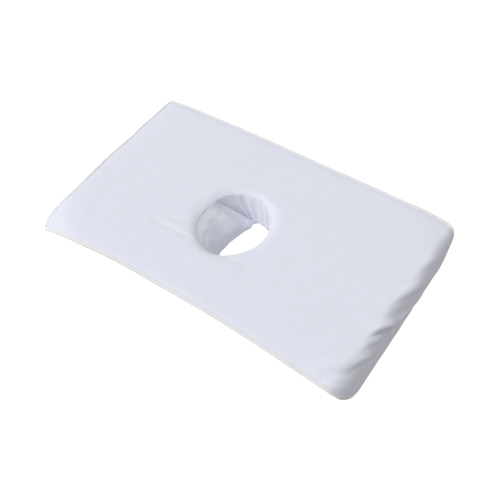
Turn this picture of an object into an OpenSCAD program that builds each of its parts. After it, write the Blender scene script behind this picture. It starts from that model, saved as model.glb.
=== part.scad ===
// Padded face-hole cushion: a foam block in an inner cover, and a removable padded cover with
// a cloth sleeve through the face hole and one end folded down as a flap.
// Millimetres. +X points to the end with the flap, +Z is up, and the block stands on Z = 0.
// The origin is the middle of the whole object's base.

/* [Padded cover] */
// Length from the tail edge to the outside of the hanging flap
cover_length = 626; // [520:1:760]
// Width across the long edges
cover_width = 400; // [340:1:520]
// Radius of the two tail corners
tail_corner_r = 18; // [12:1:60]
// Thickness of the brushed top cloth
top_cloth = 1.2; // [0.6:0.1:2]
// Thickness of the wadding under the top cloth
wadding = 5; // [3:0.5:10]
// Thickness of the backing cloth
backing_cloth = 0.8; // [0.4:0.1:1.5]

/* [Flap] */
// Height of the flap, from the cover's top cloth to the flap's lower edge
flap_height = 67; // [45:1:68]
// Radius of the flap's two lower corners
flap_corner_r = 40; // [12:1:42]
// Radius of the fold, at the middle of the wadding
fold_r = 12; // [8:1:18]

/* [Edge binding] */
// Width of the binding on each face
binding_width = 5.5; // [4:0.5:14]
// Thickness of the binding tape
binding_tape = 0.6; // [0.4:0.1:1]
// Width of the line of binding thread
thread_width = 0.8; // [0.5:0.1:1.2]
// Distance of the thread from the binding's inner edge
thread_inset = 1.6; // [1:0.1:3]

/* [Face hole] */
// Clear diameter of the hole inside the sleeve
hole_d = 136; // [100:1:160]
// Middle of the hole along the cushion
hole_x = -21; // [-60:1:40]
// Middle of the hole across the cushion
hole_y = -12; // [-30:1:30]

/* [Sleeve] */
// Length of the sleeve, from the top cloth to its lower edge
sleeve_length = 66; // [40:1:68]
// Thickness of the sleeve's cloth
sleeve_cloth = 1; // [0.5:0.1:1.5]
// Width of the overlap where the sleeve's ends meet
overlap_width = 22; // [12:1:40]
// Direction of the overlap from the middle of the hole, in degrees from +X
overlap_angle = 140; // [0:1:359]
// Height of the hem at the sleeve's lower edge
hem_height = 10; // [8:0.5:16]
// Thickness of the hem, with the elastic inside
hem_thickness = 3; // [2.6:0.1:4]
// Width of the elastic in the hem
elastic_width = 6; // [3:0.5:7]
// Thickness of the elastic
elastic = 1; // [0.6:0.1:1.4]
// Height of the tape that strengthens the sleeve's top seam
rim_tape_height = 10; // [5:0.5:14]
// Thickness of that tape
rim_tape_cloth = 0.8; // [0.5:0.1:1.2]

/* [Foam block] */
// Thickness of the foam
foam_thickness = 60; // [55:1:90]
// Distance of the block's sides and tail end from the cover's edge
block_inset = 48; // [20:1:70]
// Distance of the block's head end from the fold
block_end_gap = 6; // [2:0.5:20]
// Radius of the block's upright corners
block_corner_r = 28; // [12:1:60]
// Thickness of the inner cover's cloth
inner_cloth = 0.8; // [0.5:0.1:1.5]
// Room between the sleeve's hem and the lining of the block's hole
sleeve_room = 3; // [1:0.5:12]

/* [Grip strips] */
// Size of each strip along the cushion
strip_length = 50; // [20:1:80]
// Size of each strip across the cushion
strip_width = 230; // [80:1:250]
// Thickness of the loop tape
strip_tape = 1.6; // [1:0.1:3]
// Distance of each strip from the block's end
strip_end_gap = 45; // [36:1:60]

/* [Fit] */
// Room between the padded cover and the block, and at the fold
clearance = 0.3; // [0.2:0.1:1]

/* [Hidden] */
$fn = 96;

// Heights, from the floor up
block_bottom = strip_tape;
foam_bottom = block_bottom + inner_cloth;
foam_top = foam_bottom + foam_thickness;
block_top = foam_top + inner_cloth;
cover_bottom = block_top + clearance;
wadding_bottom = cover_bottom + backing_cloth;
wadding_top = wadding_bottom + wadding;
cover_top = wadding_top + top_cloth;
cover_layers = cover_top - cover_bottom;

// The fold: its axis is placed so that the wadding keeps its length when the flap is raised
fold_inset = fold_r * (1 - PI / 4);
roll_r = cover_layers / 2 + fold_inset;
fold_x = cover_length / 2 - binding_tape - roll_r;
fold_z = cover_top - roll_r;
bound_roll_r = roll_r + binding_tape;
wadding_roll_r = roll_r - top_cloth;
flap_cut_r = bound_roll_r + clearance;

// The flap's faces while it hangs
flap_outside = fold_x + roll_r;
flap_inside = flap_outside - cover_layers;
flap_wadding_in = flap_inside + backing_cloth;
flap_wadding_out = flap_outside - top_cloth;
flap_bottom = cover_top - flap_height;

// The face hole and what hangs in it
tail_x = -cover_length / 2;
hole_r = hole_d / 2;
sleeve_out_r = hole_r + sleeve_cloth;
hem_out_r = hole_r + hem_thickness;
lining_r = hem_out_r + sleeve_room;
foam_hole_r = lining_r + inner_cloth;
sleeve_bottom = cover_top - sleeve_length;
hem_top = sleeve_bottom + hem_height;
elastic_in_r = hole_r + (hem_thickness - elastic) / 2;
elastic_bottom = sleeve_bottom + (hem_height - elastic_width) / 2;
rim_tape_bottom = cover_bottom - rim_tape_height;
seam_thread_r = thread_width / 2;

// The foam block
block_tail_x = tail_x + block_inset;
block_head_x = fold_x - bound_roll_r - block_end_gap;
block_length = block_head_x - block_tail_x;
block_width = cover_width - 2 * block_inset;

// Cuts run past the faces by this much
past = 1;

// Outline of the flat part of the cover: round corners at the tail, square at the fold
module tail_outline(inset) {
    r = tail_corner_r - inset;
    half = cover_width / 2 - inset;
    start = tail_x + inset;
    union() {
        translate([start + r, -half])
            square([fold_x - start - r, 2 * half]);
        translate([start, r - half])
            square([2 * r, 2 * (half - r)]);
        for (side = [-1, 1])
            translate([start + r, side * (half - r)])
                circle(r);
    }
}

// Outline of the hanging flap, seen from outside: X across the cushion, Y up to the fold's axis
module flap_outline(inset) {
    r = flap_corner_r - inset;
    half = cover_width / 2 - inset;
    start = flap_bottom + inset;
    intersection() {
        union() {
            translate([-half, start + r])
                square([2 * half, fold_z - start - r]);
            translate([r - half, start])
                square([2 * (half - r), 2 * r]);
            for (side = [-1, 1])
                translate([side * (half - r), start + r])
                    circle(r);
        }
        translate([-half, start])
            square([2 * half, fold_z - start]);
    }
}

// Outline of the foam block, with four round corners
module block_outline(inset) {
    r = block_corner_r - inset;
    long = block_length - 2 * inset;
    wide = block_width - 2 * inset;
    translate([(block_tail_x + block_head_x) / 2, 0])
        union() {
            square([long - 2 * r, wide], center = true);
            square([long, wide - 2 * r], center = true);
            for (end = [-1, 1], side = [-1, 1])
                translate([end * (long / 2 - r), side * (wide / 2 - r)])
                    circle(r);
        }
}

// Upright cylinder on the axis of the face hole
module at_hole(r, bottom, top) {
    translate([hole_x, hole_y, bottom])
        cylinder(r = r, h = top - bottom);
}

module hole_ring(in_r, out_r, bottom, top) {
    difference() {
        at_hole(out_r, bottom, top);
        at_hole(in_r, bottom - past, top + past);
    }
}

// One flat layer of the cover, with the hole for the sleeve
module cover_layer(bottom, top) {
    difference() {
        translate([0, 0, bottom])
            linear_extrude(top - bottom)
                tail_outline(binding_tape);
        at_hole(sleeve_out_r, bottom - past, top + past);
    }
}

// Cylinder along the fold's axis
module fold_roll(r, half_width) {
    translate([fold_x, half_width, fold_z])
        rotate([90, 0, 0])
            cylinder(r = r, h = 2 * half_width);
}

// Half or quarter of the space around the fold's axis
module fold_sector(left, right, bottom, top) {
    translate([fold_x + left, -cover_width, fold_z + bottom])
        cube([right - left, 2 * cover_width, top - bottom]);
}

// A plate with the flap's outline, standing between two X positions, clear of the fold
module flap_layer(inset, inside, outside) {
    difference() {
        translate([inside, 0, 0])
            rotate([90, 0, 90])
                linear_extrude(outside - inside)
                    flap_outline(inset);
        fold_roll(flap_cut_r, cover_width);
    }
}

// Bead of thread on the binding of the flat part
module cover_thread_line(bottom, top) {
    thread_out = binding_width - thread_inset - thread_width;
    translate([0, 0, bottom])
        linear_extrude(top - bottom)
            intersection() {
                difference() {
                    tail_outline(thread_out);
                    tail_outline(thread_out + thread_width);
                }
                translate([tail_x, -cover_width])
                    square([fold_x - tail_x - binding_width, 2 * cover_width]);
            }
}

// Bead of thread on the binding of the flap
module flap_thread_line(inside, outside) {
    thread_out = binding_width - thread_inset - thread_width;
    difference() {
        flap_layer(thread_out, inside, outside);
        flap_layer(thread_out + thread_width, inside - past, outside + past);
    }
}

module base_foam() {
    color("lightyellow")
        difference() {
            translate([0, 0, foam_bottom])
                linear_extrude(foam_thickness)
                    block_outline(inner_cloth);
            at_hole(foam_hole_r, foam_bottom - past, foam_top + past);
        }
}

// Flat panel of the inner cover
module inner_panel(bottom) {
    difference() {
        translate([0, 0, bottom])
            linear_extrude(inner_cloth)
                block_outline(0);
        at_hole(lining_r, bottom - past, bottom + inner_cloth + past);
    }
}

module inner_cover_top() {
    color("whitesmoke")
        inner_panel(foam_top);
}

module inner_cover_bottom() {
    color("whitesmoke")
        inner_panel(block_bottom);
}

module inner_cover_side() {
    color("gainsboro")
        difference() {
            translate([0, 0, foam_bottom])
                linear_extrude(foam_thickness)
                    block_outline(0);
            translate([0, 0, foam_bottom - past])
                linear_extrude(foam_thickness + 2 * past)
                    block_outline(inner_cloth);
        }
}

module hole_lining() {
    color("gainsboro")
        hole_ring(lining_r, foam_hole_r, foam_bottom, foam_top);
}

module grip_strip(start) {
    color("silver")
        translate([start, -strip_width / 2, 0])
            cube([strip_length, strip_width, strip_tape]);
}

module grip_strip_tail() {
    grip_strip(block_tail_x + strip_end_gap);
}

module grip_strip_head() {
    grip_strip(block_head_x - strip_end_gap - strip_length);
}

// The top cloth follows the fold half way round
module top_panel() {
    color("lavender") {
        union() {
            cover_layer(wadding_top, cover_top);
            intersection() {
                difference() {
                    fold_roll(roll_r, cover_width / 2 - binding_tape);
                    fold_roll(wadding_roll_r, cover_width);
                }
                fold_sector(0, 2 * roll_r, -2 * roll_r, 2 * roll_r);
            }
        }
    }
}

// The wadding ends in the soft roll of the fold
module cover_wadding() {
    color("white")
        union() {
            cover_layer(wadding_bottom, wadding_top);
            fold_roll(wadding_roll_r, cover_width / 2 - binding_tape);
        }
}

module backing_panel() {
    backing_roll_r = wadding_roll_r + backing_cloth;
    color("whitesmoke")
        union() {
            difference() {
                cover_layer(cover_bottom, wadding_bottom);
                fold_roll(wadding_roll_r, cover_width);
            }
            intersection() {
                difference() {
                    fold_roll(backing_roll_r, cover_width / 2 - binding_tape);
                    fold_roll(wadding_roll_r, cover_width);
                }
                fold_sector(-2 * roll_r, 0, -2 * roll_r, wadding_bottom - fold_z);
            }
        }
}

// Tape folded over the edge: both faces, the tail corners and round the fold
module edge_binding() {
    color("ivory")
        difference() {
            union() {
                translate([0, 0, cover_bottom - binding_tape])
                    linear_extrude(cover_layers + 2 * binding_tape)
                        tail_outline(0);
                fold_roll(bound_roll_r, cover_width / 2);
            }
            translate([0, 0, cover_bottom - binding_tape - past])
                linear_extrude(cover_layers + 2 * binding_tape + 2 * past)
                    tail_outline(binding_width);
            translate([0, 0, cover_bottom])
                linear_extrude(cover_layers)
                    tail_outline(binding_tape);
            fold_roll(roll_r, cover_width / 2 - binding_tape);
            fold_roll(2 * roll_r, cover_width / 2 - binding_width);
            cover_thread_line(cover_top + binding_tape / 2, cover_top + binding_tape + past);
        }
}

module binding_thread() {
    color("white")
        cover_thread_line(cover_top + binding_tape / 2, cover_top + binding_tape);
}

// Tube of cloth down the hole, one strip with its ends lapped
module sleeve() {
    lap_out_r = sleeve_out_r + sleeve_cloth;
    lap_half = asin(overlap_width / 2 / lap_out_r);
    lap_reach = 2 * lap_out_r;
    color("lavender")
        union() {
            hole_ring(hole_r, sleeve_out_r, hem_top, cover_top);
            intersection() {
                hole_ring(sleeve_out_r, lap_out_r, hem_top, rim_tape_bottom);
                translate([hole_x, hole_y, hem_top])
                    linear_extrude(rim_tape_bottom - hem_top)
                        polygon([
                            [0, 0],
                            lap_reach * [cos(overlap_angle - lap_half), sin(overlap_angle - lap_half)],
                            lap_reach * [cos(overlap_angle + lap_half), sin(overlap_angle + lap_half)]
                        ]);
            }
        }
}

module sleeve_hem() {
    color("lavender")
        difference() {
            hole_ring(hole_r, hem_out_r, sleeve_bottom, hem_top);
            hole_ring(elastic_in_r, elastic_in_r + elastic, elastic_bottom,
                elastic_bottom + elastic_width);
        }
}

module hem_elastic() {
    color("white")
        hole_ring(elastic_in_r, elastic_in_r + elastic, elastic_bottom,
            elastic_bottom + elastic_width);
}

// Row of thread down the lap, on the inner face of the sleeve
module sleeve_seam_thread() {
    reach = hole_r - seam_thread_r;
    color("white")
        translate([
            hole_x + reach * cos(overlap_angle),
            hole_y + reach * sin(overlap_angle),
            hem_top
        ])
            cylinder(r = seam_thread_r, h = wadding_top - hem_top);
}

module rim_tape() {
    color("white")
        hole_ring(sleeve_out_r, sleeve_out_r + rim_tape_cloth, rim_tape_bottom, cover_bottom);
}

module flap_panel() {
    color("lavender")
        flap_layer(binding_tape, flap_wadding_out, flap_outside);
}

module flap_wadding() {
    color("white")
        flap_layer(binding_tape, flap_wadding_in, flap_wadding_out);
}

module flap_backing() {
    color("whitesmoke")
        flap_layer(binding_tape, flap_inside, flap_wadding_in);
}

module flap_binding() {
    color("ivory")
        difference() {
            flap_layer(0, flap_inside - binding_tape, flap_outside + binding_tape);
            translate([flap_inside - binding_tape - past, 0, 0])
                rotate([90, 0, 90])
                    linear_extrude(cover_layers + 2 * binding_tape + 2 * past)
                        flap_outline(binding_width);
            translate([flap_inside, 0, 0])
                rotate([90, 0, 90])
                    linear_extrude(cover_layers)
                        flap_outline(binding_tape);
            flap_thread_line(flap_outside + binding_tape / 2, flap_outside + binding_tape + past);
        }
}

module flap_thread() {
    color("white")
        flap_thread_line(flap_outside + binding_tape / 2, flap_outside + binding_tape);
}

base_foam();
inner_cover_top();
inner_cover_side();
inner_cover_bottom();
hole_lining();
grip_strip_tail();
grip_strip_head();
top_panel();
cover_wadding();
backing_panel();
edge_binding();
binding_thread();
sleeve();
sleeve_hem();
hem_elastic();
sleeve_seam_thread();
rim_tape();
flap_panel();
flap_wadding();
flap_backing();
flap_binding();
flap_thread();
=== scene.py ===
import math

import bpy
import numpy as np
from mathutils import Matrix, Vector
from mathutils.geometry import delaunay_2d_cdt


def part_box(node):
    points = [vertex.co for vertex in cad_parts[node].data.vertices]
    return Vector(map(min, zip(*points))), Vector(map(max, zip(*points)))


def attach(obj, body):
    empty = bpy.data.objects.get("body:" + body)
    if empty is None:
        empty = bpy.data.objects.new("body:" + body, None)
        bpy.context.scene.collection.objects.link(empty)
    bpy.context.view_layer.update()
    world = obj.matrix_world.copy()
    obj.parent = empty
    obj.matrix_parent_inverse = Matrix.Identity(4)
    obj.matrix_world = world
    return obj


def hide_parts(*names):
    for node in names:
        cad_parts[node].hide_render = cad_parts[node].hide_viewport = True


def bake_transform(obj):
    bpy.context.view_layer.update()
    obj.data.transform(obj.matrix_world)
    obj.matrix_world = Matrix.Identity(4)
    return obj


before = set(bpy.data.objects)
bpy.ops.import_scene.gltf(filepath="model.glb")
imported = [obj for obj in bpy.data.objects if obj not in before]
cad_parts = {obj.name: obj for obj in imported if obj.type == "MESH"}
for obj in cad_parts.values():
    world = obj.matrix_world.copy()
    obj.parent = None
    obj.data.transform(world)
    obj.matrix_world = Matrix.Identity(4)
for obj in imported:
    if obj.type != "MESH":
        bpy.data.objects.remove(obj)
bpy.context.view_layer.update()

MM = 0.001


# ---------------------------------------------------------------- sizes from the frame

binding_low, binding_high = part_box("edge_binding")
flap_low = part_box("flap_binding")[0]
panel_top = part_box("top_panel")[1].z
cover_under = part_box("rim_tape")[1].z
flap_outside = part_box("flap_panel")[1].x
flap_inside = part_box("flap_backing")[0].x
sleeve_low, sleeve_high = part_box("sleeve")
hem_low, hem_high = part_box("sleeve_hem")
tape_low, tape_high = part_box("rim_tape")
elastic_low, elastic_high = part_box("hem_elastic")
side_low, side_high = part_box("inner_cover_side")
block_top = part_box("inner_cover_top")[1].z
block_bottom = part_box("inner_cover_bottom")[0].z
lining_low, lining_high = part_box("hole_lining")

TAIL_X = binding_low.x
HALF_WIDTH = binding_high.y
MIDDLE_Z = (panel_top + cover_under) / 2
LAYERS = panel_top - cover_under
FLAP_X = (flap_outside + flap_inside) / 2
FLAP_BOTTOM = flap_low.z
HOLE_X = (sleeve_low.x + sleeve_high.x) / 2
HOLE_Y = (sleeve_low.y + sleeve_high.y) / 2
HOLE_R = (sleeve_high.x - sleeve_low.x) / 2
BLOCK_CORNER_R = 28 * MM
BLOCK_HOLE_R = (lining_high.x - lining_low.x) / 2
INNER_CLOTH = 0.8 * MM

# The cover is made flat, with u along it and v across it, and then laid over the fold.
# The bend is wider at the near corner, by CORNER_BEND, and its near half is set back by FOLD_BACK.
TAIL_CORNER_R = 13 * MM
FLAP_CORNER_R = 58 * MM
BEND_R = 13 * MM
CORNER_BEND = 17 * MM
FOLD_BACK = 4 * MM
FLAP_LEAN = 9 * MM
BEND_START = FLAP_X - FOLD_BACK - BEND_R
BEND_LENGTH = BEND_R * math.pi / 2
FLAP_END = BEND_START + BEND_LENGTH + MIDDLE_Z - BEND_R - FLAP_BOTTOM
BINDING_WIDTH = 5.5 * MM
STITCH_INSET = 4 * MM
RIM_ROLL = 12 * MM

# The pull of the sleeve makes the round hole narrower along the cushion and wider across it
RIM_NARROW = 0.905
RIM_WIDE = 1.085


# ---------------------------------------------------------------- small helpers


def smooth(x):
    """0 below 0, 1 above 1, and a soft step between them."""
    x = np.clip(x, 0, 1)
    return x * x * (3 - 2 * x)


def bell(x, width):
    """1 at x = 0, fading to nothing over a few widths."""
    return np.exp(-((x / width) ** 2))


def waves(x, y, size, seed):
    """Soft unevenness between about -1 and 1, with hollows of that size."""
    total = np.zeros_like(x)
    for n in range(7):
        turn = seed * 1.7 + n * 2.399
        pitch = size * (0.75 + 0.13 * n)
        total += np.sin((x * math.cos(turn) + y * math.sin(turn)) * 2 * math.pi / pitch + n * 1.3 + seed)
    return total / 4


def ridge(x, y, start, end, width):
    """A soft line from start to end: 1 along its middle, fading at its sides and ends."""
    along_x, along_y = end[0] - start[0], end[1] - start[1]
    length = math.hypot(along_x, along_y)
    along = ((x - start[0]) * along_x + (y - start[1]) * along_y) / length
    across = ((x - start[0]) * along_y - (y - start[1]) * along_x) / length
    fade = smooth(along / (0.35 * length)) * smooth((length - along) / (0.35 * length))
    return bell(across, width) * fade


def spline(x, known_x, known_y):
    """A smooth curve through the known values."""
    slope = np.gradient(known_y, known_x)
    n = np.clip(np.searchsorted(known_x, x) - 1, 0, len(known_x) - 2)
    step = known_x[n + 1] - known_x[n]
    t = (x - known_x[n]) / step
    first = (1 + 2 * t) * (1 - t) ** 2 * known_y[n] + t * (1 - t) ** 2 * step * slope[n]
    second = t * t * (3 - 2 * t) * known_y[n + 1] - t * t * (1 - t) * step * slope[n + 1]
    return first + second


def rectangle_distance(x, y, low_x, high_x, half_y, radius):
    """Distance of a point from the sides of a rectangle with round corners, positive inside."""
    over_x = np.abs(x - (low_x + high_x) / 2) - (high_x - low_x) / 2 + radius
    over_y = np.abs(y) - half_y + radius
    corner = np.hypot(np.maximum(over_x, 0), np.maximum(over_y, 0))
    return radius - corner - np.minimum(np.maximum(over_x, over_y), 0)


def edge_distance(u, v):
    """Distance of a flat point from the cover's outline, positive inside."""
    radius = np.where(u < (TAIL_X + FLAP_END) / 2, TAIL_CORNER_R, FLAP_CORNER_R)
    return rectangle_distance(u, v, TAIL_X, FLAP_END, HALF_WIDTH, radius)


def block_inside(x, y):
    """Distance of a point from the block's sides, positive inside."""
    return rectangle_distance(x, y, side_low.x, side_high.x, side_high.y, BLOCK_CORNER_R)


def block_overhang(x, y):
    """0 over the foam block, and 1 where the cover ends beside it."""
    return np.clip(-block_inside(x, y) / (HALF_WIDTH - side_high.y), 0, 2)


def hole_distance(u, v, radius=HOLE_R):
    """Distance of a flat point from the edge of the hole, or of a hole with another radius."""
    return np.hypot(u - HOLE_X, v - HOLE_Y) - radius


def hole_direction(u, v):
    """Direction of a flat point from the middle of the hole, in radians."""
    return np.arctan2(v - HOLE_Y, u - HOLE_X)


def travelled_along(points):
    """Distance along a line of points, from its first point to each."""
    return np.concatenate([[0], np.cumsum(np.linalg.norm(np.diff(points, axis=0), axis=1))])


# ---------------------------------------------------------------- the shape that the cover takes


def droop(x, y):
    """How far the cover sags past the edges of the foam block."""
    free = np.clip(block_overhang(x, y), 0, 1) ** 1.5
    from_tail = np.maximum(x - TAIL_X, 0)
    near = smooth(-y / (60 * MM))
    far = smooth(y / (60 * MM))
    near_corner = 29.0 * np.exp(-(from_tail + HALF_WIDTH + y) / (36 * MM)) * near
    far_corner = 5.0 * np.exp(-(from_tail + HALF_WIDTH - y) / (40 * MM)) * far
    tail_wave = (0.3 + 1.0 * bell(y - 64 * MM, 12 * MM)) * np.exp(-from_tail / (30 * MM))
    head_near = 8.0 * near * smooth((x - 120 * MM) / (170 * MM)) ** 1.5
    head_far = 2.5 * far * smooth((x - 230 * MM) / (80 * MM))
    middle = 0.5 + 0.5 * np.sin(x / (47 * MM) + y / (90 * MM))
    return free * (near_corner + far_corner + tail_wave + head_near + head_far + middle) * MM


# How the two long edges lie: place along the cover, then the shift across it, both in mm.
# Places past the fold lie on the flap.
FAR_EDGE_LIE = np.array(
    [(-313, -8), (-200, -4), (-100, 0), (70, 3), (200, 5.5), (272, 7), (300, 3), (318, -7), (367, -10)],
    float,
)
NEAR_EDGE_LIE = np.array(
    [(-313, 0), (-230, 0), (-180, 3.5), (-130, 6), (-60, 5.5), (80, 4), (160, 0), (250, -4), (292, -5)]
    + [(310, 0), (330, 7), (367, 9)],
    float,
)


# How the tail's edge lies: place across the cover, then the shift along it, both in mm
TAIL_EDGE_LIE = np.array(
    [(-200, -4), (-165, -3.4), (-130, -1), (-100, 0.8), (-70, 0), (-40, -1), (10, -1.8), (60, -0.8)]
    + [(95, -2), (130, -1.2), (165, -2.2), (200, -3)],
    float,
)


def unevenness(u, v):
    """Soft rise and fall of the top cloth, with the creases that the sleeve's pull makes."""
    around = hole_distance(u, v)
    quiet = smooth(edge_distance(u, v) / (25 * MM)) * smooth(around / (20 * MM))
    soft = 0.45 * waves(u, v, 150 * MM, 3) + 0.16 * waves(u, v, 42 * MM, 8)
    pull = -1.7 * ridge(u, v, (-160 * MM, -87 * MM), (-30 * MM, -81 * MM), 4 * MM)
    pull += -1.6 * ridge(u, v, (-16 * MM, -90 * MM), (80 * MM, -75 * MM), 4 * MM)
    pull += 1.0 * ridge(u, v, (-150 * MM, -77 * MM), (-60 * MM, -73 * MM), 5 * MM)
    corner = -3.2 * ridge(u, v, (252 * MM, -204 * MM), (326 * MM, -134 * MM), 5 * MM)
    corner += 1.3 * ridge(u, v, (270 * MM, -212 * MM), (338 * MM, -146 * MM), 7 * MM)
    corner += 1.5 * ridge(u, v, (240 * MM, -196 * MM), (312 * MM, -124 * MM), 7 * MM)
    corner -= 1.2 * ridge(u, v, (286 * MM, -212 * MM), (330 * MM, -168 * MM), 4 * MM)
    direction = hole_direction(u, v)
    puff = 0.5 * np.sin(5 * direction + 1) + 0.4 * np.sin(9 * direction + 2)
    return (quiet * soft + pull + corner + puff * bell(around - 6 * MM, 11 * MM)) * MM


def flap_folds(u, v):
    """How far the hanging flap stands out: slanting folds that start at the bend."""
    down = u - BEND_START - 0.5 * BEND_LENGTH
    slant = v - 2.0 * down
    long_fold = smooth((down + 12 * MM) / (20 * MM)) * (1 - 0.92 * smooth((down - 24 * MM) / (24 * MM)))
    short_fold = smooth((down + 9 * MM) / (18 * MM)) * (1 - 0.95 * smooth((down - 8 * MM) / (26 * MM)))
    main = 10.5 * bell(slant + 52 * MM, 12 * MM) - 9.5 * bell(slant + 72 * MM, 7 * MM)
    main += 4.0 * bell(slant - 30 * MM, 19 * MM) - 3.4 * bell(slant - 2 * MM, 10 * MM)
    side = 2.2 * bell(slant + 88 * MM, 10 * MM) - 2.6 * bell(slant + 104 * MM, 8 * MM)
    side += 5.0 * bell(slant + 128 * MM, 11 * MM) - 4.6 * bell(slant + 147 * MM, 9 * MM)
    side += 1.8 * bell(slant - 104 * MM, 20 * MM) - 1.6 * bell(slant - 74 * MM, 14 * MM)
    soft = 1.2 * waves(u, v, 90 * MM, 5)
    return (long_fold * (main + soft) + short_fold * side) * MM


def warp_hole(u, v):
    """The flat place after the sleeve's pull has made the hole oval."""
    pulled = 1 - smooth(hole_distance(u, v) / (75 * MM))
    close = 1 - smooth(hole_distance(u, v) / (35 * MM))
    direction = hole_direction(u, v)
    uneven = 1 + close * (0.014 * np.sin(3 * direction + 0.4) + 0.010 * np.sin(5 * direction + 2.2))
    x = HOLE_X + (u - HOLE_X) * (1 + (RIM_NARROW - 1) * pulled) * uneven
    y = HOLE_Y + (v - HOLE_Y) * (1 + (RIM_WIDE - 1) * pulled) * uneven
    return x, y


def edge_lie(u, v):
    """Shift across the cushion that gives the two long edges their slight curves."""
    far = spline(u, FAR_EDGE_LIE[:, 0] * MM, FAR_EDGE_LIE[:, 1] * MM)
    near = spline(u, NEAR_EDGE_LIE[:, 0] * MM, NEAR_EDGE_LIE[:, 1] * MM)
    return far * np.clip(v / HALF_WIDTH, 0, 1) ** 2 + near * np.clip(-v / HALF_WIDTH, 0, 1) ** 2


def bend_shape(y):
    """The bend's radius and start: wider at the near corner, further out along the far half."""
    far = smooth((y + 30 * MM) / (90 * MM))
    corner = smooth((-y - 105 * MM) / (85 * MM))
    radius = BEND_R + CORNER_BEND * corner
    return radius, FLAP_X - FOLD_BACK * (1 - 1.5 * far) - radius + 2 * MM * corner


def tail_lie(x, y):
    """Shift along the cushion that gives the tail's edge its slight waves."""
    shift = spline(np.clip(y, -HALF_WIDTH, HALF_WIDTH), TAIL_EDGE_LIE[:, 0] * MM, TAIL_EDGE_LIE[:, 1] * MM)
    return shift * np.clip(1 - (x - TAIL_X) / (150 * MM), 0, 1) ** 2


def place(u, v, h):
    """Where flat places of the cover come to lie, h above the middle of its layers."""
    u, v, h = np.broadcast_arrays(*(np.asarray(a, float) for a in (u, v, h)))
    along, y = warp_hole(u, v)
    radius, start = bend_shape(y)
    turn = np.clip((along - start) / radius, 0, math.pi / 2)
    below = np.maximum(along - start - radius * math.pi / 2, 0)
    y = y + edge_lie(along, y)
    free = np.clip(block_overhang(along, y), 0, 1)
    share = np.clip(0.5 + h / LAYERS, 0, 1) * (1 - free) + free
    out = h + unevenness(along, y) * share + flap_folds(along, y)
    x = np.minimum(along, start) + (radius + out) * np.sin(turn)
    lean = FLAP_LEAN * (1 - 0.6 * smooth((y + 30 * MM) / (90 * MM)))
    x = x + lean * below / (MIDDLE_Z - BEND_R - FLAP_BOTTOM) + tail_lie(along, y)
    z = MIDDLE_Z - radius + (radius + out) * np.cos(turn) - below
    drop = droop(np.minimum(x, FLAP_X), y)
    drop *= np.clip((z - FLAP_BOTTOM) / (MIDDLE_Z - FLAP_BOTTOM), 0, 1)
    pull_in = drop**2 / (2 * 150 * MM)
    x = x + np.where(x < side_low.x, pull_in, 0)
    y = y - np.sign(y) * np.where(np.abs(y) > side_high.y, pull_in, 0)
    return np.stack([x, y, z - drop], axis=-1)


def top_height(u, v):
    """Height of the top cloth over the middle, thinner at the binding and rolled in at the hole."""
    edge = edge_distance(u, v)
    thin = 1.5 * (1 - smooth(edge / (20 * MM)))
    groove = 0.45 * bell(edge - BINDING_WIDTH - 0.8 * MM, 1.8 * MM)
    direction = hole_direction(u, v)
    width = RIM_ROLL * (1.15 + 0.6 * np.cos(direction) ** 2)
    around = np.clip(1 - hole_distance(u, v) / width, 0, 1)
    roll = 6.1 * (0.12 * (1 - np.sqrt(1 - around**2)) + 0.88 * around**2)
    return LAYERS / 2 - (thin + groove + roll) * MM


def under_height(u, v):
    """Height of the wadding's underside."""
    thin = 0.8 * (1 - smooth(edge_distance(u, v) / (20 * MM)))
    return -LAYERS / 2 + (0.8 + thin) * MM


# ---------------------------------------------------------------- meshes


def add_mesh(name, points, faces, soft_shading=True):
    """A new mesh object with these points and faces."""
    mesh = bpy.data.meshes.new(name)
    mesh.from_pydata([tuple(p) for p in np.asarray(points, float)], [], faces)
    mesh.validate()
    mesh.update()
    if soft_shading:
        mesh.polygons.foreach_set("use_smooth", [True] * len(mesh.polygons))
    piece = bpy.data.objects.new(name, mesh)
    bpy.context.scene.collection.objects.link(piece)
    return piece


def rounded_loop(low_u, high_u, half, low_r, high_r, step):
    """Points round a rectangle with two corner radii, anticlockwise, and the outward directions."""
    low_r, high_r = max(low_r, 0.2 * MM), max(high_r, 0.2 * MM)
    corners = [
        (high_u - high_r, high_r - half, high_r, -90),
        (high_u - high_r, half - high_r, high_r, 0),
        (low_u + low_r, half - low_r, low_r, 90),
        (low_u + low_r, low_r - half, low_r, 180),
    ]
    points, outward = [], []
    for n, (cu, cv, r, first) in enumerate(corners):
        for turn in np.radians(np.linspace(first, first + 90, 13)):
            points.append((cu + r * math.cos(turn), cv + r * math.sin(turn)))
            outward.append((math.cos(turn), math.sin(turn)))
        nu, nv, nr, following = corners[(n + 1) % 4]
        turn = math.radians(following)
        goal = (nu + nr * math.cos(turn), nv + nr * math.sin(turn))
        last = points[-1]
        count = max(2, round(math.dist(last, goal) / step))
        for share in np.linspace(0, 1, count, endpoint=False)[1:]:
            points.append((last[0] + share * (goal[0] - last[0]), last[1] + share * (goal[1] - last[1])))
            outward.append((math.cos(turn), math.sin(turn)))
    return np.array(points), np.array(outward)


def cover_outline(step):
    """The cover's flat outline, and the outward directions."""
    return rounded_loop(TAIL_X, FLAP_END, HALF_WIDTH, TAIL_CORNER_R, FLAP_CORNER_R, step)


def cover_loop(inset):
    """The cover's flat outline, moved in by inset."""
    points, outward = cover_outline(4 * MM)
    return points - outward * inset


def hole_circle(radius, count):
    """Points round the middle of the hole, anticlockwise."""
    turn = np.linspace(0, 2 * math.pi, count, endpoint=False)
    return np.stack([HOLE_X + radius * np.cos(turn), HOLE_Y + radius * np.sin(turn)], axis=-1)


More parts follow.
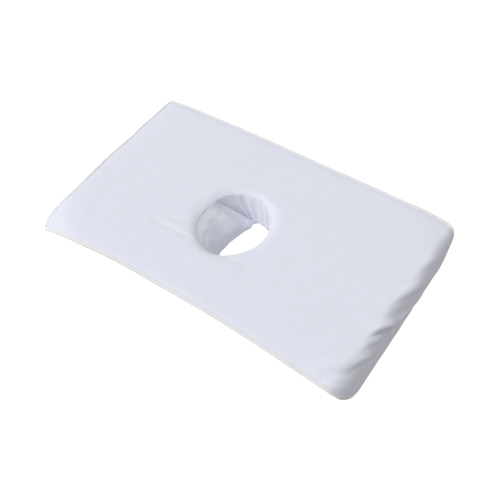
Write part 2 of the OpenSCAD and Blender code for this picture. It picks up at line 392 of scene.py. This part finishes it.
def triangulate(outer, hole, inner_points):
    """Triangles between an outer loop and a hole's loop, through the inner points."""
    points = np.concatenate([outer, hole, inner_points])
    n, m = len(outer), len(hole)
    edges = [(i, (i + 1) % n) for i in range(n)]
    edges += [(n + i, n + (i + 1) % m) for i in range(m)]
    made = delaunay_2d_cdt([Vector(p) for p in points], edges, [], 0, 1e-7, False)
    flat = np.array([(p.x, p.y) for p in made[0]])
    faces = np.array(made[2])
    middle = flat[faces].mean(axis=1)
    return flat, faces, middle


def slab(name, flat, faces, outer_count, hole_count, upper, lower):
    """A closed form from one flat triangulation, with an upper and a lower set of points."""
    n = len(flat)
    made = [tuple(f) for f in faces]
    made += [tuple(n + i for i in reversed(f)) for f in faces]
    for first, count, inward in ((0, outer_count, False), (outer_count, hole_count, True)):
        for i in range(count):
            a, b = first + i, first + (i + 1) % count
            side = (a, b, n + b, n + a)
            made.append(side if inward else side[::-1])
    return add_mesh(name, np.concatenate([upper, lower]), made)


def ring_grid(points, close_rows, close_columns):
    """Quads over a grid of point numbers with that many rows and columns."""
    rows, columns = points
    faces = []
    for i in range(rows if close_rows else rows - 1):
        for j in range(columns if close_columns else columns - 1):
            k, m = (i + 1) % rows, (j + 1) % columns
            faces.append((i * columns + j, i * columns + m, k * columns + m, k * columns + j))
    return faces


def shell(name, grid, thickness, close_columns=False):
    """A closed thin form from a grid of points, with half its thickness on each side."""
    rows, columns = grid.shape[:2]
    if close_columns:
        along = np.roll(grid, -1, axis=1) - np.roll(grid, 1, axis=1)
    else:
        along = np.gradient(grid, axis=1)
    normal = np.cross(along, np.gradient(grid, axis=0))
    normal /= np.linalg.norm(normal, axis=-1, keepdims=True)
    half = np.asarray(thickness) / 2
    half = half[..., None] if np.ndim(half) else half
    sides = [grid + normal * half, grid - normal * half]
    count = rows * columns
    points = np.concatenate([s.reshape(-1, 3) for s in sides])
    one = ring_grid((rows, columns), False, close_columns)
    faces = one + [tuple(count + i for i in reversed(f)) for f in one]
    border = []
    if close_columns:
        for row in (0, rows - 1):
            loop = [row * columns + j for j in range(columns)]
            border.append(loop if row else loop[::-1])
    else:
        loop = [j for j in range(columns)]
        loop += [i * columns + columns - 1 for i in range(1, rows)]
        loop += [(rows - 1) * columns + j for j in range(columns - 2, -1, -1)]
        loop += [i * columns for i in range(rows - 2, 0, -1)]
        border.append(loop[::-1])
    for loop in border:
        for a, b in zip(loop, loop[1:] + loop[:1]):
            faces.append((a, b, count + b, count + a))
    return add_mesh(name, points, faces)


def sweep(name, rows):
    """A closed tube from rows of points: each row is one turn of the profile, and rows join up."""
    count, around = rows.shape[:2]
    return add_mesh(name, rows.reshape(-1, 3), ring_grid((count, around), True, True))


def stitches(name, starts, ends, up, radius):
    """Short rounded stitches, each from a start to an end point."""
    steps = np.array([-1.0, -0.72, 0.0, 0.72, 1.0])
    widths = np.array([0.25, 0.85, 1.0, 0.85, 0.25])
    turns = np.linspace(0, 2 * math.pi, 6, endpoint=False)
    middle, half = (starts + ends) / 2, (ends - starts) / 2
    along = half / np.linalg.norm(half, axis=1, keepdims=True)
    side = np.cross(along, up)
    side /= np.linalg.norm(side, axis=1, keepdims=True)
    rise = np.cross(side, along)
    spread = side[:, None, None] * np.cos(turns)[None, None, :, None]
    spread = spread + rise[:, None, None] * np.sin(turns)[None, None, :, None]
    points = middle[:, None, None] + half[:, None, None] * steps[None, :, None, None]
    points = points + spread * widths[None, :, None, None] * radius
    one = ring_grid((5, 6), False, True) + [tuple(range(6))[::-1], tuple(range(24, 30))]
    faces = [tuple(30 * n + i for i in f[::-1]) for n in range(len(starts)) for f in one]
    return add_mesh(name, points.reshape(-1, 3), faces)


# ---------------------------------------------------------------- the padded cover


def cover_triangles():
    """The cover's flat triangulation, fine at the edge, the hole and the bend."""
    outer = cover_loop(0.8 * MM)
    hole = hole_circle(HOLE_R, 128)
    near_edge = [cover_loop(d * MM) for d in (2.0, 3.4, 4.8, 5.8, 6.8, 8.2, 10.2, 13, 16)]
    near_hole = [hole_circle(HOLE_R + d * MM, 128) for d in (0.25, 0.9, 1.9, 3.2, 4.8, 7, 10, 13.5, 17.5)]
    flat_end, bend_end = 0.284, 0.322
    columns = np.concatenate(
        [
            np.arange(TAIL_X, flat_end, 4.4 * MM),
            np.arange(flat_end, bend_end, 2.2 * MM),
            np.arange(bend_end, FLAP_END, 3 * MM),
        ]
    )
    lines = np.arange(-HALF_WIDTH, HALF_WIDTH, 4.2 * MM)
    u, v = (a.ravel() for a in np.meshgrid(columns, lines))
    inside = (edge_distance(u, v) > 18 * MM) & (hole_distance(u, v) > 20 * MM)
    grid = np.stack([u[inside], v[inside]], axis=-1)
    flat, faces, middle = triangulate(outer, hole, np.concatenate(near_edge + near_hole + [grid]))
    kept = (edge_distance(*middle.T) > 0.8 * MM) & (hole_distance(*middle.T) > -0.05 * MM)
    return flat, faces[kept], len(outer), len(hole)


def make_pad(flat, faces, outer_count, hole_count):
    """The top cloth with its wadding, never thinner than 0.6 mm."""
    u, v = flat.T
    upper = place(u, v, top_height(u, v))
    lower = place(u, v, np.minimum(under_height(u, v), top_height(u, v) - 0.6 * MM))
    return slab("padded_cover", flat, faces, outer_count, hole_count, upper, lower)


def make_backing(flat, faces, outer_count, hole_count):
    """The cloth under the wadding, 0.5 mm thick."""
    u, v = flat.T
    under = under_height(u, v)
    upper = place(u, v, under - 0.1 * MM)
    lower = place(u, v, under - 0.6 * MM)
    return slab("backing_cloth", flat, faces, outer_count, hole_count, upper, lower)


def binding_profile():
    """The folded tape's section: distances in from the outline, and heights over the cloth."""
    outside = [(5.6, 0.05), (5.4, 0.4), (4.9, 0.56), (4.4, 0.48), (4.0, 0.4), (3.6, 0.5), (2.8, 0.66)]
    outside += [(1.8, 0.55), (1.0, 0.15), (0.4, -0.5), (0.05, -1.3)]
    inside = [(1.2, -1.2), (2.0, -0.3), (3.6, -0.25), (5.2, -0.25)]
    return outside, inside


def make_binding():
    """The tape folded over the cover's edge, puckered a little between its stitches."""
    outline, outward = cover_outline(1.75 * MM)
    outside, inside = binding_profile()
    bottom_out = [(d, -h) for d, h in reversed(outside)]
    bottom_in = [(d, -h) for d, h in reversed(inside)]
    sides = [1] * len(outside) + [-1] * len(outside) + [-1] * len(inside) + [1] * len(inside)
    profile = outside + bottom_out + bottom_in + inside
    travelled = travelled_along(outline)
    wander = 0.35 * MM * np.sin(travelled / (31 * MM)) + 0.2 * MM * np.sin(travelled / (12 * MM))
    columns = []
    for (inset, height), side in zip(profile, sides):
        share = inset * MM / BINDING_WIDTH
        at = outline - outward * (inset * MM + wander * share)[:, None]
        u, v = at.T
        over = top_height(u, v) if side > 0 else under_height(u, v) - 0.5 * MM
        pucker = 0.12 * MM * np.cos(travelled * 2 * math.pi / (3.5 * MM)) * bell(inset - 4, 1.1)
        columns.append(place(u, v, over + height * MM + side * pucker))
    return sweep("bound_edge", np.stack(columns, axis=1))


def make_binding_stitches():
    """The stitches of the binding, on the top and the underside."""
    outline, outward = cover_outline(1 * MM)
    line = outline - outward * STITCH_INSET
    line = np.concatenate([line, line[:1]])
    travelled = travelled_along(line)
    count = round(travelled[-1] / (3.5 * MM))
    begin = np.arange(count) * travelled[-1] / count
    starts, ends, ups = [], [], []
    for side in (1, -1):
        pair = []
        for at in (begin, begin + 2.5 * MM):
            u, v = (np.interp(at, travelled, line[:, n]) for n in (0, 1))
            over = top_height(u, v) if side > 0 else under_height(u, v) - 0.5 * MM
            pair.append((u, v, over + side * 0.55 * MM))
        start, end = (place(*p) for p in pair)
        lifted = place(pair[0][0], pair[0][1], pair[0][2] + side * MM)
        starts.append(start)
        ends.append(end)
        ups.append(lifted - start)
    return stitches(
        "binding_stitches", np.concatenate(starts), np.concatenate(ends), np.concatenate(ups), 0.36 * MM
    )


# ---------------------------------------------------------------- the sleeve

# Where the hem hangs, round the sleeve from its free edge: direction of the rim, then place in mm
HEM_PLACES = np.array(
    [
        (158, -17, 57),
        (170, -21.5, 38),
        (184, -26, 19),
        (200, -30, 0),
        (220, -32, -20),
        (240, -33, -41),
        (260, -23, -61),
        (280, -5, -70),
        (300, 14, -66),
        (320, 29, -49),
        (340, 34, -29),
        (360, 35, -7),
        (380, 34, 14),
        (400, 30, 33),
        (420, 18, 50),
        (440, 3, 57),
        (460, -13, 57.8),
        (480, -28, 56),
        (502, -42, 46),
        (536, -55, 20),
    ],
    float,
)
# The sleeve goes once round and laps over itself, from its free edge inside to its end outside
FREE_EDGE = 158.0
LAP_START = 485.0
LAP_END = 536.0
LEFT_END = 235.0

# The free edge bows out towards the back wall by up to this, in this direction
EDGE_BOW = 8 * MM
BOW_DIRECTION = (-0.53, 0.85)

SLEEVE_DEPTH = 2.2 * MM
SLEEVE_LENGTH = MIDDLE_Z - SLEEVE_DEPTH - hem_low.z
HEM_SHARE = 1 - (hem_high.z - hem_low.z) / SLEEVE_LENGTH


def lap_layers(turn):
    """1 on the lap's outer layer and 1 on its inner layer, each fading to 0 round the sleeve."""
    return smooth((turn - LAP_START) / 30), 1 - smooth((turn - FREE_EDGE) / 24)


def sleeve_rim(turn, depth):
    """The rim's place over a point of the sleeve: sewn in behind the rim, then just inside it."""
    outer, inner = lap_layers(turn)
    tucked = 1 - smooth(depth / 0.05)
    radius = HOLE_R + (0.9 * tucked - (0.5 - 0.3 * outer + 1.0 * inner) * (1 - tucked)) * MM
    angle = np.radians(turn)
    rim_u = HOLE_X + radius * np.cos(angle)
    rim_v = HOLE_Y + radius * np.sin(angle)
    return place(rim_u, rim_v, -SLEEVE_DEPTH)


def layers_apart(turn, depth):
    """How far the lap's two layers stand apart: the outer one moves out, the inner one in."""
    outer, inner = lap_layers(turn)
    middle = np.sin(math.pi * np.clip(depth, 0, 1) ** 0.6)
    return ((1.6 * middle + 1.4 * depth) * outer - (1.6 * middle + 0.9 * depth) * inner) * MM


def sleeve_point(turn, depth):
    """A point of the sleeve: turn in degrees round the rim, depth from 0 at the rim to 1 at the hem."""
    turn, depth = np.broadcast_arrays(np.asarray(turn, float), np.asarray(depth, float))
    rim = sleeve_rim(turn, depth)
    hem_x = spline(turn, HEM_PLACES[:, 0], HEM_PLACES[:, 1] * MM)
    hem_y = spline(turn, HEM_PLACES[:, 0], HEM_PLACES[:, 2] * MM)

    # The left of the sleeve leans in early on its way down, and the free edge late
    left = smooth((turn - FREE_EDGE) / 22) * (1 - smooth((turn - LEFT_END) / 35))
    edge = 1 - smooth((turn - FREE_EDGE) / 26)
    below = np.clip((depth - 0.025) / 0.975, 0, 1)
    inward = (1 - edge) * (1 - (1 - below) ** (1 + 1.1 * left)) + edge * below**1.15
    x = rim[..., 0] + (hem_x - rim[..., 0]) * inward
    y = rim[..., 1] + (hem_y - rim[..., 1]) * inward
    z = rim[..., 2] + (hem_low.z - rim[..., 2]) * depth + rolls(turn, depth, left)

    out = pleats(turn, depth, left) + layers_apart(turn, depth)
    x = x + out * np.cos(np.radians(turn))
    y = y + out * np.sin(np.radians(turn))
    bow = EDGE_BOW * edge * np.sin(math.pi * below**0.75) * (1 - 0.5 * below)
    return np.stack([x + BOW_DIRECTION[0] * bow, y + BOW_DIRECTION[1] * bow, z], axis=-1)


def pleats(turn, depth, left):
    """How far the gathers, and the dents on the left, push the sleeve out."""
    wander = 5 * np.sin(np.radians(turn * 2.0 + 40)) + 4 * np.sin(np.radians(turn * 5.0))
    phase = np.radians((turn + wander) * 24)
    size = (1.1 * smooth(depth * 1.15) + 1.4 * smooth(depth * 8)) * (1 - 0.85 * left)
    even = 0.6 + 0.4 * np.sin(np.radians(turn * 7 + 15))
    folds = size * even * np.sin(phase + 1.1 * depth * np.sin(np.radians(turn * 3)))
    crumple = left * 3.6 * waves(np.radians(turn) * 60 * MM, depth * SLEEVE_LENGTH, 34 * MM, 2)
    crumple = crumple * smooth(depth * 4) * (1 - 0.75 * smooth((depth - 0.6) / 0.35))
    return (folds + crumple) * MM


def rolls(turn, depth, left):
    """Soft rolls of cloth on the left of the hole, just under the rim."""
    band = left * smooth(depth * 12) * (1 - smooth(depth * 3.2 - 0.6))
    uneven = 0.75 + 0.25 * np.sin(np.radians(turn * 5))
    return band * uneven * 0.5 * MM * np.sin(depth * 42 + np.radians(turn) * 2.2)


def sleeve_grid(first, last, low, high, columns, rows):
    """Points of the sleeve between two turns and two depths."""
    turn = np.linspace(first, last, columns)[None, :]
    depth = np.linspace(low, high, rows)[:, None]
    return sleeve_point(turn, depth)


def make_sleeve():
    """The cloth tube, down to just inside its hem."""
    grid = sleeve_grid(FREE_EDGE, LAP_END, 0.0, HEM_SHARE + 0.02, 420, 44)
    return shell("sleeve_cloth", grid, 0.8 * MM)


def make_hem():
    """The sleeve's lower edge, rolled over the elastic."""
    grid = sleeve_grid(FREE_EDGE, LAP_END, HEM_SHARE, 1.0, 420, 11)
    bulge = np.sqrt(np.clip(1 - np.linspace(-1, 1, 11) ** 4, 0.06, 1))
    return shell("sleeve_hem_roll", grid, np.repeat((3.0 * MM * bulge)[:, None], 420, axis=1))


def make_elastic():
    """The flat elastic inside the hem."""
    middle = (1 + HEM_SHARE) / 2
    half = (elastic_high.z - elastic_low.z) / 2 / SLEEVE_LENGTH
    grid = sleeve_grid(FREE_EDGE + 2, LAP_END - 2, middle - half, middle + half, 300, 4)
    return shell("elastic_band", grid, 0.8 * MM)


def make_rim_tape():
    """The tape that hangs from the cover's underside, just outside the sleeve."""
    at = place(*hole_circle(HOLE_R + 2.4 * MM, 144).T, -LAYERS / 2)
    rows = []
    for z in np.linspace(tape_high.z, tape_low.z, 5):
        rows.append(np.stack([at[:, 0], at[:, 1], at[:, 2] - (cover_under - z)], axis=-1))
    return shell("rim_binding_tape", np.stack(rows), 0.7 * MM, close_columns=True)


def make_sleeve_stitches():
    """The row of stitches down the sleeve, beside its free edge."""
    depth = np.arange(0.06, HEM_SHARE, 0.053)
    turn = np.full_like(depth, FREE_EDGE + 5.5)
    start = sleeve_point(turn, depth)
    end = sleeve_point(turn, depth + 0.038)
    inward = np.stack([HOLE_X - start[:, 0], HOLE_Y - start[:, 1], 0 * depth], axis=-1)
    inward /= np.linalg.norm(inward, axis=1, keepdims=True)
    lift = inward * 0.5 * MM
    return stitches("sleeve_stitches", start + lift, end + lift, inward, 0.36 * MM)


# ---------------------------------------------------------------- the foam block


def block_loop(inset):
    """The block's outline, moved in by inset."""
    corner = BLOCK_CORNER_R
    points, outward = rounded_loop(side_low.x, side_high.x, side_high.y, corner, corner, 6 * MM)
    return points - outward * inset


def block_triangles(inset, hole_r):
    """A flat triangulation of the block's outline with its hole."""
    outer = block_loop(inset)
    hole = hole_circle(hole_r, 96)
    rings = [block_loop(inset + d * MM) for d in (0.4, 1.2, 2.4, 4, 6.5, 10)]
    rings += [hole_circle(hole_r + d * MM, 96) for d in (1, 3, 7)]
    columns = np.arange(side_low.x, side_high.x, 9 * MM)
    lines = np.arange(side_low.y, side_high.y, 9 * MM)
    u, v = (a.ravel() for a in np.meshgrid(columns, lines))
    inside = (block_inside(u, v) > inset + 14 * MM) & (hole_distance(u, v, hole_r) > 12 * MM)
    rings.append(np.stack([u[inside], v[inside]], axis=-1))
    flat, faces, middle = triangulate(outer, hole, np.concatenate(rings))
    kept = (block_inside(*middle.T) > inset) & (hole_distance(*middle.T, hole_r) > -0.05 * MM)
    return flat, faces[kept], len(outer), len(hole)


def round_over(inside, radius):
    """How far a face falls away near its edge, for a rounded edge of that radius."""
    share = np.clip(1 - inside / radius, 0, 1)
    return radius * (1 - np.sqrt(1 - share**2))


def block_slab(name, inset, hole_r, low, high, high_turn, low_turn):
    """A flat piece of the block; each turn is 1 where that face's edge curls up, -1 for down."""
    flat, faces, outer_count, hole_count = block_triangles(inset, hole_r)
    u, v = flat.T
    fall = round_over(block_inside(u, v) - inset, 3 * MM)
    upper = np.stack([u, v, high + high_turn * fall], axis=-1)
    lower = np.stack([u, v, low + low_turn * fall], axis=-1)
    return slab(name, flat, faces, outer_count, hole_count, upper, lower)


def make_foam():
    low, high = block_bottom + INNER_CLOTH + 0.1 * MM, block_top - INNER_CLOTH - 0.1 * MM
    return block_slab("foam_block", 3.2 * MM, BLOCK_HOLE_R + 0.4 * MM, low, high, -1, 1)


def make_top_cloth():
    low = block_top - INNER_CLOTH
    return block_slab("block_top_cloth", 0, BLOCK_HOLE_R - INNER_CLOTH, low, block_top, -1, -1)


def make_bottom_cloth():
    high = block_bottom + INNER_CLOTH
    return block_slab("block_bottom_cloth", 0, BLOCK_HOLE_R - INNER_CLOTH, block_bottom, high, 1, 1)


def make_side_band():
    """The inner cover's side, pulled in a little between its two seams."""
    corner = BLOCK_CORNER_R
    outline, outward = rounded_loop(side_low.x, side_high.x, side_high.y, corner, corner, 3 * MM)
    low, high = block_bottom + 2.2 * MM, block_top - 2.2 * MM
    travelled = travelled_along(outline)
    columns = []
    heights = np.linspace(0, 1, 17)
    for share in heights:
        lip = 0.7 * (bell(share, 0.035) + bell(1 - share, 0.035))
        waist = -1.3 * math.sin(math.pi * share)
        wrinkle = 0.35 * np.sin(travelled / (7 * MM) + 2 * np.sin(travelled / (60 * MM)))
        wrinkle = wrinkle * math.sin(math.pi * share)
        out = (lip + waist + wrinkle - 0.8) * MM
        at = outline + outward * out[:, None]
        columns.append(np.column_stack([at, np.full(len(at), low + share * (high - low))]))
    return shell("block_side_band", np.stack(columns), 0.8 * MM, close_columns=True)


def make_lining():
    """The cloth through the block's hole, puckered a little at half its height."""
    turn = np.linspace(0, 2 * math.pi, 120, endpoint=False)
    rows = []
    for share in np.linspace(0, 1, 9):
        z = block_bottom + 0.8 * MM + share * (block_top - block_bottom - 1.6 * MM)
        pucker = 0.25 * np.sin(turn * 34) * math.sin(math.pi * share)
        radius = BLOCK_HOLE_R - 0.5 * MM + pucker * MM
        x = HOLE_X + radius * np.cos(turn)
        y = HOLE_Y + radius * np.sin(turn)
        rows.append(np.stack([x, y, np.full_like(turn, z)], axis=-1))
    return shell("block_hole_lining", np.stack(rows), 0.7 * MM, close_columns=True)


def make_grip_tape(name, node):
    """A strip of loop tape with soft edges."""
    low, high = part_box(node)
    columns = np.linspace(low.x, high.x, 24)
    lines = np.linspace(low.y, high.y, 60)
    x, y = np.meshgrid(columns, lines)
    edge = np.minimum(np.minimum(x - low.x, high.x - x), np.minimum(y - low.y, high.y - y))
    thickness = (high.z - low.z) * (0.55 + 0.45 * smooth(edge / (2 * MM)))
    grid = np.stack([x, y, np.full_like(x, (low.z + high.z) / 2)], axis=-1)
    return shell(name, grid, thickness)


# ---------------------------------------------------------------- finishes


def cloth(name, colour, nap=0.35, grain=900.0, rough=0.95, sheen=0.35, mottle=0.03):
    """Procedural cloth: a soft nap, a faint unevenness of tone, and a fine bump."""
    material = bpy.data.materials.new(name)
    material.use_nodes = True
    nodes, links = material.node_tree.nodes, material.node_tree.links
    shader = nodes["Principled BSDF"]
    shader.inputs["Roughness"].default_value = rough
    shader.inputs["Specular IOR Level"].default_value = 0.15
    shader.inputs["Sheen Weight"].default_value = sheen
    shader.inputs["Sheen Roughness"].default_value = 0.6
    where = nodes.new("ShaderNodeTexCoord")
    fine = nodes.new("ShaderNodeTexNoise")
    fine.inputs["Scale"].default_value = grain
    fine.inputs["Detail"].default_value = 3
    broad = nodes.new("ShaderNodeTexNoise")
    broad.inputs["Scale"].default_value = grain / 22
    broad.inputs["Detail"].default_value = 4
    tone = nodes.new("ShaderNodeMapRange")
    tone.inputs["To Min"].default_value = 1 - mottle
    tone.inputs["To Max"].default_value = 1 + mottle
    tint = nodes.new("ShaderNodeVectorMath")
    tint.operation = "SCALE"
    tint.inputs[0].default_value = colour
    height = nodes.new("ShaderNodeMath")
    height.operation = "MULTIPLY_ADD"
    height.inputs[1].default_value = 0.6
    bump = nodes.new("ShaderNodeBump")
    bump.inputs["Strength"].default_value = nap
    bump.inputs["Distance"].default_value = 0.0006
    links.new(where.outputs["Object"], fine.inputs["Vector"])
    links.new(where.outputs["Object"], broad.inputs["Vector"])
    links.new(broad.outputs["Fac"], tone.inputs["Value"])
    links.new(tone.outputs["Result"], tint.inputs["Scale"])
    links.new(tint.outputs["Vector"], shader.inputs["Base Color"])
    links.new(fine.outputs["Fac"], height.inputs[0])
    links.new(broad.outputs["Fac"], height.inputs[2])
    links.new(height.outputs["Value"], bump.inputs["Height"])
    links.new(bump.outputs["Normal"], shader.inputs["Normal"])
    return material


def paint(piece, material):
    """Gives a piece its finish."""
    piece.data.materials.append(material)
    return piece


# ---------------------------------------------------------------- room, light and camera


def make_floor():
    """A pale floor, a little under the grip strips so that no two faces coincide."""
    size = 6.0
    below = -0.4 * MM
    corners = [(-size, -size, below), (size, -size, below), (size, size, below), (-size, size, below)]
    floor = add_mesh("floor", corners, [(0, 1, 2, 3)], soft_shading=False)
    material = bpy.data.materials.new("floor")
    material.use_nodes = True
    shader = material.node_tree.nodes["Principled BSDF"]
    shader.inputs["Base Color"].default_value = (0.35, 0.35, 0.35, 1)
    shader.inputs["Roughness"].default_value = 1
    shader.inputs["Specular IOR Level"].default_value = 0
    shader.inputs["Emission Color"].default_value = (1, 1, 1, 1)
    shader.inputs["Emission Strength"].default_value = 0.93
    floor.data.materials.append(material)
    floor.visible_diffuse = False
    floor.visible_glossy = False


def make_backdrop():
    """A pale dome round the floor, seen only by the camera."""
    bpy.ops.mesh.primitive_uv_sphere_add(segments=48, ring_count=24, radius=9.0)
    dome = bpy.context.object
    dome.name = "backdrop"
    dome.data.materials.append(bpy.data.materials["floor"])
    for ray in ("visible_diffuse", "visible_glossy", "visible_transmission", "visible_shadow"):
        setattr(dome, ray, False)


def make_world():
    """Soft light from all round, brighter from above."""
    world = bpy.data.worlds.new("studio")
    bpy.context.scene.world = world
    world.use_nodes = True
    nodes, links = world.node_tree.nodes, world.node_tree.links
    where = nodes.new("ShaderNodeTexCoord")
    split = nodes.new("ShaderNodeSeparateXYZ")
    rise = nodes.new("ShaderNodeMapRange")
    rise.inputs["From Min"].default_value = -0.3
    rise.inputs["From Max"].default_value = 0.7
    rise.inputs["To Min"].default_value = 0.37
    rise.inputs["To Max"].default_value = 0.56
    back = nodes["Background"]
    back.inputs["Color"].default_value = (1, 0.99, 0.965, 1)
    links.new(where.outputs["Generated"], split.inputs["Vector"])
    links.new(split.outputs["Z"], rise.inputs["Value"])
    links.new(rise.outputs["Result"], back.inputs["Strength"])


def make_key(direction, distance, size, power, colour):
    """A large soft lamp that shines at the cushion from that direction."""
    lamp = bpy.data.lights.new("key", "AREA")
    lamp.shape = "DISK"
    lamp.size = size
    lamp.energy = power
    lamp.color = colour
    holder = bpy.data.objects.new("key", lamp)
    bpy.context.scene.collection.objects.link(holder)
    toward = Vector(direction).normalized()
    holder.location = toward * distance
    holder.rotation_euler = toward.to_track_quat("Z", "Y").to_euler()


def make_camera():
    """The camera looks from the head end's near corner, about 51 degrees down."""
    azimuth, elevation, distance = math.radians(33.9), math.radians(51.4), 1.441
    target = Vector((0.0385, -0.048, panel_top))
    back = Vector(
        (
            math.sin(azimuth) * math.cos(elevation),
            -math.cos(azimuth) * math.cos(elevation),
            math.sin(elevation),
        )
    )
    camera = bpy.data.cameras.new("camera")
    camera.sensor_width = 36
    camera.lens = 60.1
    camera.clip_start = 0.05
    camera.clip_end = 60
    holder = bpy.data.objects.new("camera", camera)
    bpy.context.scene.collection.objects.link(holder)
    holder.location = target + back * distance
    holder.rotation_euler = back.to_track_quat("Z", "Y").to_euler()
    bpy.context.scene.camera = holder


# ---------------------------------------------------------------- put together

WHITE = (0.80, 0.82, 0.93)
brushed = cloth("brushed_cloth", WHITE)
sleeve_finish = cloth("sleeve_cloth", (0.82, 0.84, 0.94), nap=0.4)
tape_finish = cloth("binding_tape", (0.85, 0.85, 0.88), nap=0.2, grain=1800.0, sheen=0.15)
backing_finish = cloth("backing_cloth", (0.74, 0.75, 0.78), nap=0.25, grain=1500.0, sheen=0.1)
inner_finish = cloth("inner_cloth", (0.70, 0.71, 0.74), nap=0.3, grain=1400.0, sheen=0.1)
thread_finish = cloth("thread", (0.86, 0.86, 0.87), nap=0.2, grain=3000.0, rough=0.6, sheen=0.2)
elastic_finish = cloth("elastic", (0.8, 0.8, 0.8), nap=0.3, grain=1600.0, rough=0.7)
loop_finish = cloth("loop_tape", (0.72, 0.72, 0.72), nap=0.9, grain=700.0, sheen=0.5)
foam_finish = cloth("foam", (0.86, 0.82, 0.66), nap=0.6, grain=1100.0, sheen=0.0)


def bends(piece):
    """The piece runs over the fold, already bent between the cover and the flap by its points; this bakes
    its transform into its mesh.
    """
    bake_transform(piece)


shape = cover_triangles()

pad = paint(make_pad(*shape), brushed)
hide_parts("top_panel", "cover_wadding", "flap_panel", "flap_wadding")
bends(pad)

backing = paint(make_backing(*shape), backing_finish)
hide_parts("backing_panel", "flap_backing")
bends(backing)

binding = paint(make_binding(), tape_finish)
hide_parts("edge_binding", "flap_binding")
bends(binding)
binding_thread = paint(make_binding_stitches(), thread_finish)
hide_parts("binding_thread", "flap_thread")
bends(binding_thread)

sleeve = paint(make_sleeve(), sleeve_finish)
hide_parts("sleeve")
hem = paint(make_hem(), sleeve_finish)
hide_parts("sleeve_hem")
elastic = paint(make_elastic(), elastic_finish)
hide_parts("hem_elastic")
rim_band = paint(make_rim_tape(), tape_finish)
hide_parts("rim_tape")
seam = paint(make_sleeve_stitches(), thread_finish)
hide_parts("sleeve_seam_thread")
for piece in (sleeve, hem, elastic, rim_band, seam):
    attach(piece, "cover")

foam = paint(make_foam(), foam_finish)
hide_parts("base_foam")
top_cloth = paint(make_top_cloth(), inner_finish)
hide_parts("inner_cover_top")
bottom_cloth = paint(make_bottom_cloth(), inner_finish)
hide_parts("inner_cover_bottom")
side_band = paint(make_side_band(), inner_finish)
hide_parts("inner_cover_side")
lining = paint(make_lining(), inner_finish)
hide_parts("hole_lining")
tail_grip = paint(make_grip_tape("grip_tape_tail", "grip_strip_tail"), loop_finish)
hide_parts("grip_strip_tail")
head_grip = paint(make_grip_tape("grip_tape_head", "grip_strip_head"), loop_finish)
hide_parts("grip_strip_head")
for piece in (foam, top_cloth, bottom_cloth, side_band, lining, tail_grip, head_grip):
    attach(piece, "block")

make_floor()
make_backdrop()
make_world()
make_key(direction=(-0.55, -0.5, 0.67), distance=12.0, size=9.0, power=885.0, colour=(0.985, 0.99, 1.0))
make_camera()
bpy.context.scene.view_settings.view_transform = "Standard"
